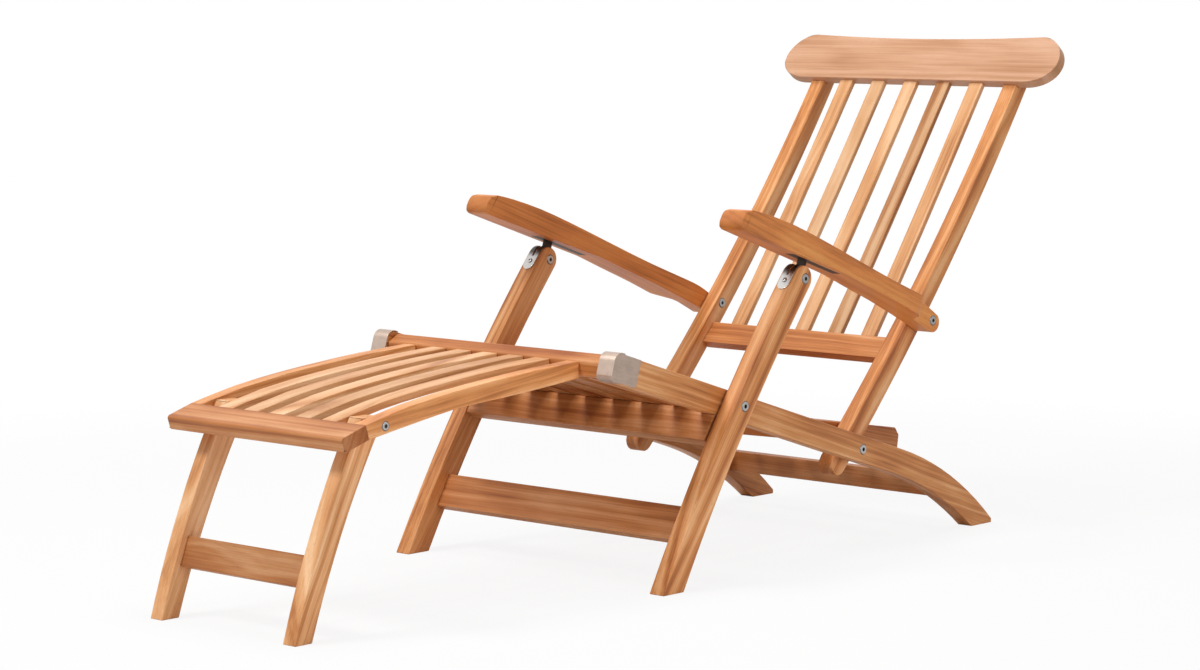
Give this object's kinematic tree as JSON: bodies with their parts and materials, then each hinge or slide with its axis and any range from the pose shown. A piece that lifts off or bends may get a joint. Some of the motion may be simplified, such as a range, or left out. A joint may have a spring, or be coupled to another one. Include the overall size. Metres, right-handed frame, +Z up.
{
  "type": "steamer deck chair",
  "caption": "Folding slatted wooden deck chair with long curved side rails, bowed posts, armrests, a reclined slatted back and a hinged footrest on folding legs.",
  "frame": {"origin": "centre of the chair's outline on the floor, with the chair unfolded and its footrest on its legs", "axes": "+X towards the sitter's left, -Y towards the footrest, +Z up"},
  "size_m": [0.6, 1.7084, 0.8359],
  "materials": {
    "teak_honey": "oiled hardwood, side faces orange brown",
    "teak_rose": "oiled hardwood, redder boards",
    "teak_straw": "oiled hardwood, paler slats",
    "steel": "brushed"
  },
  "bodies": {
    "side_frame": {"side_rail_left": "teak_honey", "side_rail_right": "teak_honey", "rail_cap_left": "steel", "rail_cap_right": "steel", "rear_stretcher": "teak_rose", "main_washer_left": "steel", "main_washer_right": "steel", "main_bolt_left": "steel", "main_bolt_right": "steel", "back_bolt_left": "steel", "back_bolt_right": "steel", "seat_front_board": "teak_rose", "seat_rear_batten": "teak_honey", "seat_side_rail_left": "teak_honey", "seat_side_rail_right": "teak_honey", "seat_slat_1": "teak_straw", "seat_slat_2": "teak_straw", "seat_slat_3": "teak_straw", "seat_slat_4": "teak_straw", "seat_slat_5": "teak_straw"},
    "posts": {"front_post_left": "teak_honey", "front_post_right": "teak_honey", "post_stretcher": "teak_rose", "post_strap_left": "steel", "post_strap_right": "steel", "strap_screw_left": "steel", "strap_screw_right": "steel", "post_top_bolt_left": "steel", "post_top_bolt_right": "steel"},
    "backrest": {"stile_left": "teak_honey", "stile_right": "teak_honey", "back_rail": "teak_rose", "headrest": "teak_honey", "back_slat_1": "teak_straw", "back_slat_2": "teak_straw", "back_slat_3": "teak_straw", "back_slat_4": "teak_straw", "back_slat_5": "teak_straw"},
    "arms": {"arm_left": "teak_honey", "arm_right": "teak_honey", "arm_bracket_left": "steel", "arm_bracket_right": "steel", "arm_tip_bolt_left": "steel", "arm_tip_bolt_right": "steel"},
    "footrest": {"footrest_rail_left": "teak_honey", "footrest_rail_right": "teak_honey", "footrest_slat_1": "teak_straw", "footrest_slat_2": "teak_straw", "footrest_slat_3": "teak_straw", "footrest_slat_4": "teak_straw", "footrest_slat_5": "teak_straw", "footrest_front_board": "teak_rose", "footrest_pivot_bar": "teak_rose", "footrest_leg_screw_left": "steel", "footrest_leg_screw_right": "steel"},
    "footrest_legs": {"footrest_leg_left": "teak_honey", "footrest_leg_right": "teak_honey", "footrest_leg_stretcher": "teak_rose"}
  },
  "joints": [
    {"name": "post_fold", "type": "hinge", "parent": "side_frame", "child": "posts", "pos_m": [0, -0.02535, 0.273], "axis": [-1, 0, 0], "range_deg": [0, 58]},
    {"name": "back_fold", "type": "hinge", "parent": "side_frame", "child": "backrest", "pos_m": [0, 0.32065, 0.16589], "axis": [-1, 0, 0], "range_deg": [0, 54.3]},
    {"name": "arm_fold", "type": "hinge", "parent": "backrest", "child": "arms", "pos_m": [0, 0.50269, 0.36569], "axis": [-1, 0, 0], "range_deg": [-51.7, 0]},
    {"name": "footrest_hinge", "type": "hinge", "parent": "side_frame", "child": "footrest", "pos_m": [0, -0.27945, 0.35166], "axis": [-1, 0, 0], "range_deg": [-35, 150]},
    {"name": "footrest_leg_fold", "type": "hinge", "parent": "footrest", "child": "footrest_legs", "pos_m": [0, -0.70424, 0.30066], "axis": [1, 0, 0], "range_deg": [0, 92]}
  ],
  "couplings": [
    {"joint": "back_fold", "follows": "post_fold", "ratio": 0.934},
    {"joint": "arm_fold", "follows": "post_fold", "ratio": -0.8894}
  ]
}
